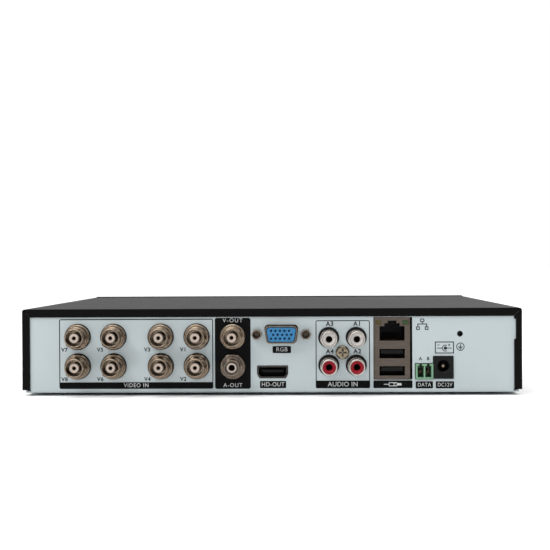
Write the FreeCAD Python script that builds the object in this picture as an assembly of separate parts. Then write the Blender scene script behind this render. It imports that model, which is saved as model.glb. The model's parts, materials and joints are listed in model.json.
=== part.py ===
import FreeCAD, Part
import math
import os

# Compact eight-channel DVR recorder, in millimetres.
#
# +X is right seen from the front, +Y is the rear, +Z is up. The pieces are drawn with y = 0 at the
# bezel's front face and z = 0 at the casing's underside, then moved so that the origin is at the
# middle of the whole recorder's footprint, on the surface that its feet stand on.

Vector = FreeCAD.Vector

# Casing
WIDTH = 256.0
DEPTH = 220.0            # bezel front to the cover's rear lips
COVER_HALF = 127.5       # half the cover's outer width
COVER_TOP = 43.0
COVER_LOW = 1.6          # lower edge of the cover's sides and lips
SHEET = 0.8
GAP = 0.1                # between sheets that lie on each other
BEND = 1.3               # outer radius of the sheet's bends
LIP_TOP = 4.2
LIP_SIDE = 3.9
LIP_NOTCH = (27.1, 37.4)  # heights of the notch in one side lip
FOOT_HEIGHT = 1.5
FOOT_RADIUS = 7.0

# Front bezel
BEZEL_TOP = 43.5
BEZEL_LOW = 0.8
BEZEL_DEPTH = 14.0
BEZEL_WALL = 3.2
BAND_DEPTH = 1.2
BAND_SLOPE = 1.4         # sideways run of a band's slanted end, for each millimetre of height
BAND_DRAFT = 0.6
PIT_PITCH = 3.72
PIT_SIZE = 2.2
PIT_DEPTH = 0.9
PIT_FIRST_X = -67.8
PIT_ROWS = ((38.2, 0, 35), (34.4, 1, 34), (8.3, 2, 34), (4.5, 2, 35))     # height, first, stop
UPPER_BAND = ((-59.4, 53.9), 29.8)
LOWER_BAND = ((-57.6, 54.6), 13.5)

# Buttons
KEY_TRAVEL = 0.5
KEY_PROUD = 0.3
SIDE_KEY_X = 78.5
MENU_Z = 33.3
ESC_Z = 10.6
SIDE_KEY_RADIUS = 3.0
PAD_X = 99.9
PAD_Z = 22.1
PAD_RADIUS = 14.6
PAD_INNER = 6.4
PAD_RECESS = 1.1                  # the web between the pad's keys lies this far back
SPOKE = 2.0
KEY_GAP = 0.7
SWITCH_SIZE = 6.0
SWITCH_FACE = 5.9        # y of the switches' front faces
SWITCH_RADIUS = 10.5     # distance of the four outer switches from the pad's centre
PLUNGER_RADIUS = 1.72
LED_XS = (45.8, 56.0, 66.3)
LED_Z = 22.05
IR_X = 32.7
IR_Z = 22.1

# Boards
FRONT_BOARD_Y = 9.0
PCB = 1.6
BOARD_TOP = 6.7
BOARD_X = (-111.0, 112.0)
BOARD_Y = (122.5, 217.9)
BOARD_SCREWS = [(x, y) for x in (-106.0, 0.0, 108.0) for y in (129.0, 192.0)]
FRONT_SCREWS = [(28.0, 9.5), (28.0, 33.5), (118.0, 9.0), (118.0, 34.0)]

# Rear panel and its sockets
PANEL = DEPTH - SHEET - 0.05      # y of the panel's outer face
PANEL_IN = PANEL - SHEET
VIDEO_XS = (99.0, 80.6, 56.4, 38.0)
OUT_X = 19.5
UPPER_Z = 28.7
LOWER_Z = 13.6
JACK_BASE = 6.45
JACK_REACH = 11.0                 # how far the video sockets stand out of the panel
PIN_BORE = 0.68                   # takes the 1.35 mm centre pin of a video plug
AUDIO_XS = (-29.5, -43.5)
AUDIO_ZS = (27.6, 13.5)
PHONO_RADIUS = 4.15
PHONO_ROOT = 4.4                  # where the audio barrels sit in their block
BOSS_RADIUS = 5.2
BOSS_REACH = 1.3
BOSS_LIFT = 0.55                  # the round bosses sit a little above their barrels' middles
PHONO_REACH = 9.0
PHONO_BORE = 3.45                 # inside of the barrels, where the coloured inserts sit
VGA_X = -5.35
VGA_Z = 29.9
VGA_SCREW_SPACING = 24.99
HDMI_X = -0.8
HDMI_Z = 10.65
NET_X = -61.7
NET_HALF = 9.1
NET_TOP = 38.3
NET_DEPTH = 21.0
NET_LIGHT_DX = 6.9                # the two lights beside the latch way
NET_LIGHT_Z = 35.7
USB_ZS = (19.8, 11.0)
TERMINAL_X = -78.05
TERMINAL_HALF = 4.45
TERMINAL_Z = (6.9, 14.6)
POWER_X = -87.7
POWER_Z = 13.4
GROUND_X = -96.2
GROUND_Z = 29.8
GROUND_RADIUS = 1.5

# Hard drive, 3.5 inch
DRIVE_X = (-120.0, 27.0)
DRIVE_Y = (19.5, 121.1)
DRIVE_Z = (3.8, 29.9)
DRIVE_SCREWS = [(DRIVE_X[1] - 41.28 - dx, sum(DRIVE_Y) / 2 + dy)
                for dx in (0.0, 44.45) for dy in (-47.625, 47.625)]
DISC_X = -68.5
DISC_Y = sum(DRIVE_Y) / 2
DISC_RADIUS = 47.5
PIVOT_X = -12.0
PIVOT_Y = 50.0
ARM_LENGTH = 46.0
ARM_PARKED = 107.1                # direction of the parked head arm, in degrees from +X

FRONT = -KEY_PROUD
BACK = PANEL + JACK_REACH
ORIGIN_SHIFT = Vector(0, -(FRONT + BACK) / 2, FOOT_HEIGHT)


# ---------------------------------------------------------------- helpers

def box(x_range, y_range, z_range):
    size = [high - low for low, high in (x_range, y_range, z_range)]
    return Part.makeBox(*size, Vector(x_range[0], y_range[0], z_range[0]))


def block(x, z, half_width, half_height, y_range):
    return box((x - half_width, x + half_width), y_range, (z - half_height, z + half_height))


def rod_y(x, z, radius, y_range):
    return Part.makeCylinder(radius, y_range[1] - y_range[0], Vector(x, y_range[0], z), Vector(0, 1, 0))


def rod_z(x, y, radius, z_range):
    return Part.makeCylinder(radius, z_range[1] - z_range[0], Vector(x, y, z_range[0]))


def cone_y(x, z, radii, y_range):
    return Part.makeCone(*radii, y_range[1] - y_range[0], Vector(x, y_range[0], z), Vector(0, 1, 0))


def fuse(shapes):
    return shapes[0].multiFuse(shapes[1:]).removeSplitter()


def cut(shape, tools):
    return shape.cut(Part.makeCompound(tools))


def group(shapes):
    return Part.makeCompound(shapes)


def outline(points, radius, to_vector):
    """Closed wire round 2D points, with corners rounded; radius is one value or one per corner."""
    radii = radius if isinstance(radius, (list, tuple)) else [radius] * len(points)
    corners = [Vector(u, v, 0) for u, v in points]
    ends = []
    for i, corner in enumerate(corners):
        before = (corners[i - 1] - corner).normalize()
        after = (corners[(i + 1) % len(corners)] - corner).normalize()
        half = before.getAngle(after) / 2
        reach = radii[i] / math.tan(half)
        bisector = (before + after).normalize()
        middle = corner + bisector * (radii[i] / math.sin(half) - radii[i])
        ends.append((corner + before * reach, middle, corner + after * reach))
    edges = []
    for i, (start, middle, end) in enumerate(ends):
        if radii[i] > 0:
            arc = Part.Arc(*[to_vector(p.x, p.y) for p in (start, middle, end)])
            edges.append(arc.toShape())
        following = ends[(i + 1) % len(ends)][0]
        straight = Part.LineSegment(to_vector(end.x, end.y), to_vector(following.x, following.y))
        edges.append(straight.toShape())
    return Part.Wire(edges)


def prism_y(points, radius, y_range):
    """Outline in X and Z, carried along Y."""
    wire = outline(points, radius, lambda x, z: Vector(x, y_range[0], z))
    return Part.Face(wire).extrude(Vector(0, y_range[1] - y_range[0], 0))


def prism_x(points, radius, x_range):
    """Outline in Y and Z, carried along X."""
    wire = outline(points, radius, lambda y, z: Vector(x_range[0], y, z))
    return Part.Face(wire).extrude(Vector(x_range[1] - x_range[0], 0, 0))


def prism_z(points, radius, z_range):
    """Outline in X and Y, carried along Z."""
    wire = outline(points, radius, lambda x, y: Vector(x, y, z_range[0]))
    return Part.Face(wire).extrude(Vector(0, 0, z_range[1] - z_range[0]))


def turned(x, z, profile):
    """Solid turned about a Y axis through (x, z), from (radius, y) points; y counts from the panel."""
    points = [Vector(x + radius, PANEL + y, z) for radius, y in profile]
    face = Part.Face(Part.makePolygon(points + points[:1]))
    return face.revolve(Vector(x, 0, z), Vector(0, 1, 0), 360)


def mirrored(shape):
    return shape.mirror(Vector(0, 0, 0), Vector(1, 0, 0))


def both_sides(shape):
    return [shape, mirrored(shape)]


def slot_z(x_range, y, half_width, z_range):
    """Upright slot with round ends, cut along X."""
    length = x_range[1] - x_range[0]
    ends = [Part.makeCylinder(half_width, length, Vector(x_range[0], y, z), Vector(1, 0, 0)) for z in z_range]
    return fuse([box(x_range, (y - half_width, y + half_width), z_range)] + ends)


# ---------------------------------------------------------------- casing

HOOK_XS = (-100.0, -35.0, 35.0, 104.0)
HOOK_HALF = 4.0
HOOK_HEIGHTS = (((38.0, 40.4), (38.0, 39.6), (37.2, 38.2)),      # root, tip and catch, upper row
                ((2.6, 4.6), (3.1, 4.6), (4.5, 5.5)))            # and lower row
HOOK_WINDOW_ZS = (38.6, 4.2)
SIDE_FLANGE = 12.0
COVER_SCREWS = [(y, 7.0) for y in (55.0, 185.0)]
FEET = [(x, y) for x in (-105.0, 105.0) for y in (30.0, 190.0)]
WALL_Y = (BEZEL_DEPTH + 0.3, BEZEL_DEPTH + 0.3 + SHEET)
BASE_HALF = COVER_HALF - SHEET - GAP
BASE_TOP = COVER_TOP - SHEET - 4 * GAP
PANEL_HALF = 123.3               # half the width of the panel's lowest strip, between the lips


def vga_points(x, z, grow):
    """D shape of the monitor socket, wide side up, grown by a margin."""
    top = 8.5 + grow
    low = 7.2 + grow
    half = 4.45 + grow
    return [(x - low, z - half), (x + low, z - half), (x + top, z + half), (x - top, z + half)]


def hdmi_points(x, z, grow):
    """Outline of the digital video socket, with its two lower corners cut off."""
    half = 7.6 + grow
    low = 6.4 + grow
    top = z + 2.9 + grow
    bottom = z - 2.9 - grow
    step = z - 1.1
    return [(x - low, bottom), (x + low, bottom), (x + half, step), (x + half, top),
            (x - half, top), (x - half, step)]


def panel_cutouts():
    through = (PANEL_IN - 1, PANEL + 1)
    cutouts = [rod_y(x, z + 0.1, JACK_BASE + 0.3, through)
               for x in VIDEO_XS + (OUT_X,) for z in (UPPER_Z, LOWER_Z)]
    cutouts += [rod_y(x, z + BOSS_LIFT, BOSS_RADIUS + 0.15, through) for x in AUDIO_XS for z in AUDIO_ZS]
    cutouts.append(rod_y(sum(AUDIO_XS) / 2, sum(AUDIO_ZS) / 2, 1.7, through))
    cutouts.append(prism_y(vga_points(VGA_X, VGA_Z, 0.4), 2.0, through))
    cutouts += [rod_y(VGA_X + side * VGA_SCREW_SPACING / 2, VGA_Z, 1.6, through) for side in (-1, 1)]
    cutouts.append(prism_y(hdmi_points(HDMI_X, HDMI_Z, 0.35), 0.4, through))
    cutouts.append(box((NET_X - NET_HALF - 1.2, NET_X + NET_HALF + 0.3), through,
                       (BOARD_TOP - 0.2, NET_TOP + 0.1)))
    cutouts.append(box((TERMINAL_X - TERMINAL_HALF - 0.3, TERMINAL_X + TERMINAL_HALF + 0.3), through,
                       (TERMINAL_Z[0] - 0.3, TERMINAL_Z[1] + 0.3)))
    cutouts.append(block(POWER_X, POWER_Z - 0.7, 5.25, 5.85, through))
    cutouts.append(rod_y(GROUND_X, GROUND_Z, GROUND_RADIUS, through))
    return cutouts


def dimple(x, y, radius, height, hole):
    """Pressed-up round support in the floor: the outer body and what is cut out of it."""
    body = Part.makeCone(radius + 1.2, radius, height, Vector(x, y, 0))
    hollow = Part.makeCone(radius + 0.4, radius - 0.8, height - SHEET, Vector(x, y, 0))
    return body, [hollow, rod_z(x, y, hole, (0, height + 1))]


def base_chassis():
    """Floor, rear panel, front wall and low side flanges, folded from one sheet."""
    floor_and_panel = [(WALL_Y[0], 0), (PANEL, 0), (PANEL, BASE_TOP), (PANEL_IN, BASE_TOP),
                       (PANEL_IN, SHEET), (WALL_Y[0], SHEET)]
    radii = [0, BEND, 0, 0, BEND - SHEET, 0]
    sheet = prism_x(floor_and_panel, radii, (-BASE_HALF, BASE_HALF))
    front_wall = box((-BASE_HALF, BASE_HALF), WALL_Y, (0, BASE_TOP))
    flange = box((BASE_HALF - SHEET, BASE_HALF), (WALL_Y[0], PANEL), (0, SIDE_FLANGE))
    supports = [dimple(x, y, 4.0, BOARD_TOP - PCB, 1.25) for x, y in BOARD_SCREWS]
    supports += [dimple(x, y, 5.0, DRIVE_Z[0], 1.8) for x, y in DRIVE_SCREWS]
    solid = fuse([sheet, front_wall] + both_sides(flange) + [body for body, _ in supports])

    cutouts = panel_cutouts()
    for _, hollows in supports:
        cutouts += hollows
    wall_through = (WALL_Y[0] - 1, WALL_Y[1] + 1)
    for x in HOOK_XS:
        cutouts += [block(x, z, HOOK_HALF + 0.4, 1.8, wall_through) for z in HOOK_WINDOW_ZS]
    cutouts.append(block(105.0, 20.0, 9.0, 8.0, wall_through))
    for y, z in COVER_SCREWS:
        start = Vector(-COVER_HALF, y, z)
        cutouts.append(Part.makeCylinder(1.25, 2 * COVER_HALF, start, Vector(1, 0, 0)))
    corner = box((PANEL_HALF, COVER_HALF), (PANEL - 3.0, DEPTH), (-1, COVER_LOW + 0.2))
    cutouts += both_sides(corner)
    return cut(solid, cutouts)


def cover_section(inset):
    """Points of the cover's arch in X and Z, drawn in by an inset."""
    side = COVER_HALF - inset
    top = COVER_TOP - inset
    return [(-side, COVER_LOW - (1 if inset else 0)), (side, COVER_LOW - (1 if inset else 0)),
            (side, top), (-side, top)]


def rear_lips():
    """Lips folded in round the rear panel: one along the top and one down each side."""
    y_range = (DEPTH - SHEET, DEPTH)
    mitre = 0.15
    rise = COVER_TOP - SHEET / 2
    reach = COVER_HALF - SHEET / 2
    inner_top = COVER_TOP - LIP_TOP
    inner_side = COVER_HALF - LIP_SIDE
    top = prism_y([(-inner_side + mitre, inner_top), (inner_side - mitre, inner_top),
                   (reach - mitre, rise), (mitre - reach, rise)], 0, y_range)
    side = prism_y([(inner_side, COVER_LOW), (reach, COVER_LOW), (reach, rise - mitre),
                    (inner_side, inner_top - mitre)], 0, y_range)
    notch = box((-inner_side - 0.9, -inner_side + 1), (DEPTH - 2, DEPTH + 1), LIP_NOTCH)
    return [top, side, mirrored(side).cut(notch)]


def top_cover():
    """Folded cover: top, two sides with vents, and the rear lips."""
    y_range = (BEZEL_DEPTH + 0.05, DEPTH)
    outer = prism_y(cover_section(0), [0, 0, BEND, BEND], y_range)
    inner = prism_y(cover_section(SHEET), [0, 0, BEND - SHEET, BEND - SHEET],
                    (y_range[0] - 1, y_range[1] + 1))
    solid = fuse([outer.cut(inner)] + rear_lips())
    side = (-COVER_HALF - 1, COVER_HALF + 1)
    vents = [slot_z(side, 118.0 + 5.2 * i, 1.2, (16.0, 30.0)) for i in range(15)]
    sinks = []
    for y, z in COVER_SCREWS:
        sink = Part.makeCone(1.6, 2.7, SHEET, Vector(COVER_HALF - SHEET, y, z), Vector(1, 0, 0))
        sinks += both_sides(sink)
    return cut(solid, vents + sinks)


def cover_screws():
    """Countersunk screws through the cover's sides into the base's flanges."""
    screws = []
    for y, z in COVER_SCREWS:
        head = Part.makeCone(1.15, 2.6, SHEET, Vector(COVER_HALF - SHEET, y, z), Vector(1, 0, 0))
        shank = Part.makeCylinder(1.15, 5.0, Vector(COVER_HALF - 5.0 - SHEET, y, z), Vector(1, 0, 0))
        recess = [box((COVER_HALF - 0.45, COVER_HALF + 1), (y - a, y + a), (z - b, z + b))
                  for a, b in ((1.3, 0.28), (0.28, 1.3))]
        screws += both_sides(cut(fuse([head, shank]), recess))
    return group(screws)


def rubber_feet():
    feet = []
    for x, y in FEET:
        pad = rod_z(x, y, FOOT_RADIUS, (-FOOT_HEIGHT, 0))
        rim = [edge for edge in pad.Edges if edge.BoundBox.ZMax < -FOOT_HEIGHT + 0.01]
        feet.append(pad.makeChamfer(0.4, rim))
    return group(feet)


# ---------------------------------------------------------------- bezel

def bezel_body():
    """Bezel before its details: side profile and front outline, each carried through the other."""
    profile = [(BEZEL_DEPTH, BEZEL_LOW), (1.9, BEZEL_LOW), (0, BEZEL_LOW + 3.0), (0, BEZEL_TOP - 4.4),
               (2.6, BEZEL_TOP - 1.1), (BEZEL_DEPTH, BEZEL_TOP)]
    side_view = prism_x(profile, [0, 1.0, 2.0, 1.6, 1.4, 0], (-WIDTH, WIDTH))
    half = WIDTH / 2
    edge = half - 0.9
    corner = 1.6
    middle = (BEZEL_TOP + BEZEL_LOW) / 2

    def point(x, z):
        return Vector(x, -1, z)

    edges = []
    for sign in (1, -1):      # right side and top, then left side and bottom
        top = BEZEL_TOP if sign > 0 else BEZEL_LOW
        near = top - sign * corner
        shoulder = sign * (edge - corner)
        bulge = Part.Arc(point(sign * edge, 2 * middle - near), point(sign * half, middle),
                         point(sign * edge, near))
        turn = Part.Arc(point(sign * edge, near), point(sign * (edge - 0.4), top - sign * 0.4),
                        point(shoulder, top))
        edges += [bulge.toShape(), turn.toShape()]
        far = Part.Arc(point(-shoulder, top), point(-sign * (edge - 0.4), top - sign * 0.4),
                       point(-sign * edge, near))
        edges += [Part.LineSegment(point(shoulder, top), point(-shoulder, top)).toShape(), far.toShape()]
    front_view = Part.Face(Part.Wire(edges)).extrude(Vector(0, BEZEL_DEPTH + 2, 0))
    return side_view.common(front_view)


def band_points(x_range, z_edge, upward, inset):
    """Outline of a sunken band that opens out to the bezel's top or bottom edge."""
    reach = 18.0
    steep = math.hypot(1, BAND_SLOPE)
    way = 1 if upward else -1
    slide = inset * (steep - BAND_SLOPE)
    near = [x_range[0] + slide, x_range[1] - slide]
    far = [near[0] - BAND_SLOPE * reach, near[1] + BAND_SLOPE * reach]
    z_near = z_edge + way * inset
    z_far = z_near + way * reach
    return [(near[0], z_near), (near[1], z_near), (far[1], z_far), (far[0], z_far)]


def band_cutter(x_range, z_edge, upward):
    wires = []
    for y, inset in ((-BAND_DEPTH, -BAND_DRAFT), (BAND_DEPTH, BAND_DRAFT)):
        wires.append(outline(band_points(x_range, z_edge, upward, inset), [5.0, 5.0, 0, 0],
                             lambda x, z, y=y: Vector(x, y, z)))
    return Part.makeLoft(wires, True, True)


def pit_cutter(x, z):
    """Square pit with sloping walls, in a band's floor."""
    mouth = PIT_SIZE / 2 + 0.1
    floor = PIT_SIZE / 2 - 0.3
    return Part.makeWedge(x - mouth, BAND_DEPTH - 0.3, z - mouth, z - floor, x - floor,
                          x + mouth, BAND_DEPTH + PIT_DEPTH, z + mouth, z + floor, x + floor)


def pits():
    return [pit_cutter(PIT_FIRST_X + i * PIT_PITCH, z)
            for z, first, stop in PIT_ROWS for i in range(first, stop)]


def spoke_bars(width, y_range):
    """Two crossed bars on the pad's diagonals."""
    bars = []
    for angle in (45, 135):
        bar = box((-20, 20), y_range, (-width / 2, width / 2))
        bar.rotate(Vector(0, 0, 0), Vector(0, 1, 0), angle)
        bar.translate(Vector(PAD_X, 0, PAD_Z))
        bars.append(bar)
    return bars


def pad_sectors(inner, outer, spoke, y_range):
    """The ring between two radii, cut into four by the diagonal spokes."""
    ring = rod_y(PAD_X, PAD_Z, outer, y_range).cut(rod_y(PAD_X, PAD_Z, inner, y_range))
    return cut(ring, spoke_bars(spoke, (y_range[0] - 1, y_range[1] + 1))).Solids


def control_cutters():
    through = (-1, BEZEL_WALL + 1)
    cutters = [rod_y(PAD_X, PAD_Z, PAD_RADIUS, (-1, PAD_RECESS))]
    cutters.append(cone_y(PAD_X, PAD_Z, (PAD_RADIUS + 0.7, PAD_RADIUS), (-0.1, 0.5)))
    cutters += pad_sectors(PAD_INNER, PAD_RADIUS, SPOKE, through)
    cutters.append(rod_y(PAD_X, PAD_Z, PAD_INNER - 1.5, through))
    for z in (MENU_Z, ESC_Z):
        cutters.append(cone_y(SIDE_KEY_X, z, (SIDE_KEY_RADIUS + 0.7, SIDE_KEY_RADIUS + 0.2), (-0.1, 0.35)))
        cutters.append(rod_y(SIDE_KEY_X, z, SIDE_KEY_RADIUS + 0.2, through))
    cutters += [rod_y(x, LED_Z, 0.55, through) for x in LED_XS]
    cutters.append(cone_y(IR_X, IR_Z, (4.1, 3.5), (-0.05, 0.55)))
    well = rod_y(IR_X, IR_Z, 3.5, (0, 1.4)).cut(rod_y(IR_X, IR_Z, 1.9, (0.5, 2)))
    cutters += [well, rod_y(IR_X, IR_Z, 1.35, through)]
    return cutters


def bezel_hooks():
    """Snap hooks on the top and bottom walls, which pass through the base's front wall."""
    hooks = []
    for x in HOOK_XS:
        x_range = (x - HOOK_HALF, x + HOOK_HALF)
        for root, tip, catch in HOOK_HEIGHTS:
            hooks.append(box(x_range, (BEZEL_WALL - 0.2, BEZEL_DEPTH - 0.1), root))
            hooks.append(box(x_range, (BEZEL_DEPTH - 0.2, WALL_Y[1] + 2.4), tip))
            hooks.append(box(x_range, (WALL_Y[1] + 0.2, WALL_Y[1] + 2.4), catch))
    return hooks


def front_bezel():
    cavity = box((-WIDTH / 2 + 2.6, WIDTH / 2 - 2.6), (BEZEL_WALL, BEZEL_DEPTH + 1), (2.8, 40.2))
    shell = bezel_body().cut(cavity)
    bosses = [rod_y(x, z, 2.6, (BEZEL_WALL - 0.2, FRONT_BOARD_Y)) for x, z in FRONT_SCREWS]
    solid = fuse([shell] + bosses + bezel_hooks())
    holes = [rod_y(x, z, 1.3, (4.0, FRONT_BOARD_Y + 1)) for x, z in FRONT_SCREWS]
    bands = [band_cutter(*UPPER_BAND, True), band_cutter(*LOWER_BAND, False)]
    return cut(cut(solid, bands + holes + control_cutters()), pits())


# ---------------------------------------------------------------- buttons and front board

def plunger(x, z):
    """The part of a switch that a key pushes."""
    return rod_y(x, z, PLUNGER_RADIUS, (SWITCH_FACE - 0.7, SWITCH_FACE + 0.7))


def round_key(x, z, radius, front, dish):
    """Round key: dished cap, flange behind the bezel's wall, stem, and the plunger it pushes."""
    cap = rod_y(x, z, radius, (front, BEZEL_WALL + 0.1))
    rim = [edge for edge in cap.Edges if edge.BoundBox.YMax < front + 0.01]
    cap = cap.makeFillet(0.4, rim)
    flange = rod_y(x, z, radius + 0.8, (BEZEL_WALL + 0.1, BEZEL_WALL + 0.9))
    stem = rod_y(x, z, 1.4, (BEZEL_WALL + 0.8, SWITCH_FACE - 0.7))
    ball = 14.0
    hollow = Part.makeSphere(ball, Vector(x, front - ball + dish, z))
    return group([fuse([cap, flange, stem]).cut(hollow), plunger(x, z)])


def pad_key(direction):
    """One of the four keys round the pad, by its direction (x, z) from the centre."""
    def pick(solids):
        return max(solids, key=lambda s: (s.CenterOfMass.x - PAD_X) * direction[0]
                   + (s.CenterOfMass.z - PAD_Z) * direction[1])

    cap = pick(pad_sectors(PAD_INNER + KEY_GAP, PAD_RADIUS - KEY_GAP, SPOKE + 2 * KEY_GAP,
                           (-0.05, BEZEL_WALL + 0.1)))
    rim = [edge for edge in cap.Edges if edge.BoundBox.YMax < 0]
    cap = cap.makeChamfer(0.3, rim)
    flange = pick(pad_sectors(PAD_INNER + 0.2, PAD_RADIUS + 0.5, SPOKE + 0.4,
                              (BEZEL_WALL + 0.1, BEZEL_WALL + 0.9)))
    x = PAD_X + direction[0] * SWITCH_RADIUS
    z = PAD_Z + direction[1] * SWITCH_RADIUS
    stem = rod_y(x, z, 1.4, (BEZEL_WALL + 0.8, SWITCH_FACE - 0.7))
    return group([fuse([cap, flange, stem]), plunger(x, z)])


def switch_places():
    outer = [(PAD_X + dx * SWITCH_RADIUS, PAD_Z + dz * SWITCH_RADIUS)
             for dx, dz in ((0, 1), (0, -1), (-1, 0), (1, 0))]
    return outer + [(PAD_X, PAD_Z), (SIDE_KEY_X, MENU_Z), (SIDE_KEY_X, ESC_Z)]


def key_switches():
    half = SWITCH_SIZE / 2
    switches = []
    for x, z in switch_places():
        body = block(x, z, half, half, (SWITCH_FACE, FRONT_BOARD_Y))
        bore = rod_y(x, z, PLUNGER_RADIUS + 0.08, (SWITCH_FACE - 1, SWITCH_FACE + 1.5))
        switches.append(body.cut(bore))
    return group(switches)


def front_board():
    board = box((24.0, 122.0), (FRONT_BOARD_Y, FRONT_BOARD_Y + PCB), (5.0, 38.0))
    through = (FRONT_BOARD_Y - 1, FRONT_BOARD_Y + PCB + 1)
    return cut(board, [rod_y(x, z, 1.6, through) for x, z in FRONT_SCREWS])


def status_leds():
    leds = []
    for x in LED_XS:
        dome = Part.makeSphere(1.5, Vector(x, 5.2, LED_Z))
        leds.append(fuse([rod_y(x, LED_Z, 1.5, (5.2, FRONT_BOARD_Y - 0.8)), dome,
                          rod_y(x, LED_Z, 1.9, (FRONT_BOARD_Y - 1.0, FRONT_BOARD_Y))]))
    return group(leds)


def ir_sensor():
    dome = Part.makeSphere(2.0, Vector(IR_X, 5.5, IR_Z))
    return fuse([block(IR_X, IR_Z, 3.0, 3.5, (5.5, FRONT_BOARD_Y)), dome])


def pan_screw(head_radius, shank_radius, length, height):
    """Cross-head screw standing on z = 0, head up."""
    head = Part.makeCylinder(head_radius, height)
    rim = [edge for edge in head.Edges if edge.BoundBox.ZMin > height - 0.01]
    head = head.makeFillet(height * 0.45, rim)
    shank = Part.makeCylinder(shank_radius, length, Vector(0, 0, -length))
    arm = head_radius * 0.55
    slot = 0.45
    cross = [box((-a, a), (-b, b), (height * 0.35, height + 1)) for a, b in ((arm, slot), (slot, arm))]
    return cut(fuse([head, shank]), cross)


def turn_to_rear(shape):
    """Turns a shape that stands along +Z so that it points along +Y."""
    shape.rotate(Vector(0, 0, 0), Vector(1, 0, 0), -90)
    return shape


def board_screws():
    """The same screw holds the main board and the button board."""
    screws = []
    for x, y in BOARD_SCREWS:
        screw = pan_screw(2.8, 1.2, 4.0, 1.6)
        screw.translate(Vector(x, y, BOARD_TOP))
        screws.append(screw)
    for x, z in FRONT_SCREWS:
        screw = turn_to_rear(pan_screw(2.8, 1.2, 4.0, 1.6))
        screw.translate(Vector(x, FRONT_BOARD_Y + PCB, z))
        screws.append(screw)
    return group(screws)


# ---------------------------------------------------------------- main board

def main_board():
    board = prism_z([(BOARD_X[0], BOARD_Y[0]), (BOARD_X[1], BOARD_Y[0]), (BOARD_X[1], BOARD_Y[1]),
                     (BOARD_X[0], BOARD_Y[1])], 2.0, (BOARD_TOP - PCB, BOARD_TOP))
    return cut(board, [rod_z(x, y, 1.6, (0, BOARD_TOP + 1)) for x, y in BOARD_SCREWS])


def chip(x, y, half, height):
    return box((x - half, x + half), (y - half, y + half), (BOARD_TOP, BOARD_TOP + height))


def processor():
    return chip(-22.0, 160.0, 13.5, 2.0)


def heatsink():
    """Plate with upright fins, glued to the processor."""
    low = BOARD_TOP + 2.0
    plate = box((-42.0, -2.0), (140.0, 180.0), (low, low + 2.5))
    fins = [box((-42.0 + 3.45 * i, -42.0 + 3.45 * i + 1.3), (140.0, 180.0), (low + 2.4, low + 14.0))
            for i in range(12)]
    return fuse([plate] + fins)


def board_chips():
    """Memory and video chips in black packages."""
    memory = [box((x - 4.5, x + 4.5), (y - 6.5, y + 6.5), (BOARD_TOP, BOARD_TOP + 1.2))
              for x in (-56.0, 10.0) for y in (150.0, 168.0)]
    video = [chip(x, 172.0, 7.0, 1.6) for x in (48.0, 68.0, 88.0)]
    return group(memory + video + [chip(-78.0, 176.0, 5.0, 1.6)])


def inductors():
    coils = []
    y = 138.0
    half = 5.0
    for x in (-92.0, -78.0, -64.0):
        corners = [(x - half, y - half), (x + half, y - half), (x + half, y + half), (x - half, y + half)]
        core = prism_z(corners, 2.0, (BOARD_TOP, BOARD_TOP + 5.0))
        coils.append(core.cut(rod_z(x, y, 1.5, (BOARD_TOP + 4.4, BOARD_TOP + 6))))
    return group(coils)


def capacitors():
    cans = []
    for x, y, radius, height in ((-98, 154, 5.0, 14.0), (-84, 152, 4.0, 11.5), (-74, 152, 4.0, 11.5),
                                 (-96, 166, 4.0, 11.5), (-92, 178, 3.2, 8.0), (26, 134, 4.0, 11.5),
                                 (36, 134, 3.2, 8.0), (100, 140, 3.2, 8.0)):
        can = rod_z(x, y, radius, (BOARD_TOP, BOARD_TOP + height))
        rim = [edge for edge in can.Edges if edge.BoundBox.ZMin > BOARD_TOP + height - 0.01]
        cans.append(can.makeFillet(0.6, rim))
    return group(cans)


def clock_battery():
    """Coin cell lying in the board's clip."""
    cell = rod_z(40.0, 152.0, 10.0, (BOARD_TOP + 0.6, BOARD_TOP + 3.8))
    foot = box((36.0, 44.0), (148.0, 156.0), (BOARD_TOP, BOARD_TOP + 0.6))
    return fuse([cell, foot])


def buzzer():
    case = rod_z(-44.0, 192.0, 6.0, (BOARD_TOP, BOARD_TOP + 8.5))
    return case.cut(rod_z(-44.0, 192.0, 1.2, (BOARD_TOP + 6.0, BOARD_TOP + 9)))


SOCKET_Y = (124.0, 132.0)
# Board x, drive y, half width of the plugs and radius of each drive cable
DRIVE_LINKS = ((82.0, 51.0, 7.0, 1.9), (60.0, 71.0, 5.5, 2.4))
CABLE_Z = 9.7
FRONT_CABLE_X = 105.0
PLUG_X = 39.0
PLUG_Y = 114.0


def board_sockets():
    """Drive data, drive power and button-board sockets along the main board's front edge."""
    sockets = [box((x - half - 1, x + half + 1), SOCKET_Y, (BOARD_TOP, BOARD_TOP + 6.5))
               for x, _, half, _ in DRIVE_LINKS]
    sockets.append(box((FRONT_CABLE_X - 8, FRONT_CABLE_X - 1.5), SOCKET_Y, (BOARD_TOP, BOARD_TOP + 6.5)))
    return group(sockets)


def bent_cable(points, radius, bend):
    """Round cable through points in one level plane, with one rounded corner."""
    start, corner, end = [Vector(*point) for point in points]
    before = (start - corner).normalize()
    after = (end - corner).normalize()
    in_point = corner + before * bend
    out_point = corner + after * bend
    centre = in_point + after * bend
    middle = centre + (corner - centre).normalize() * bend
    path = Part.Wire([Part.LineSegment(start, in_point).toShape(),
                      Part.Arc(in_point, middle, out_point).toShape(),
                      Part.LineSegment(out_point, end).toShape()])
    section = Part.Wire(Part.makeCircle(radius, start, before))
    return path.makePipeShell([section], True, False)


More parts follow.
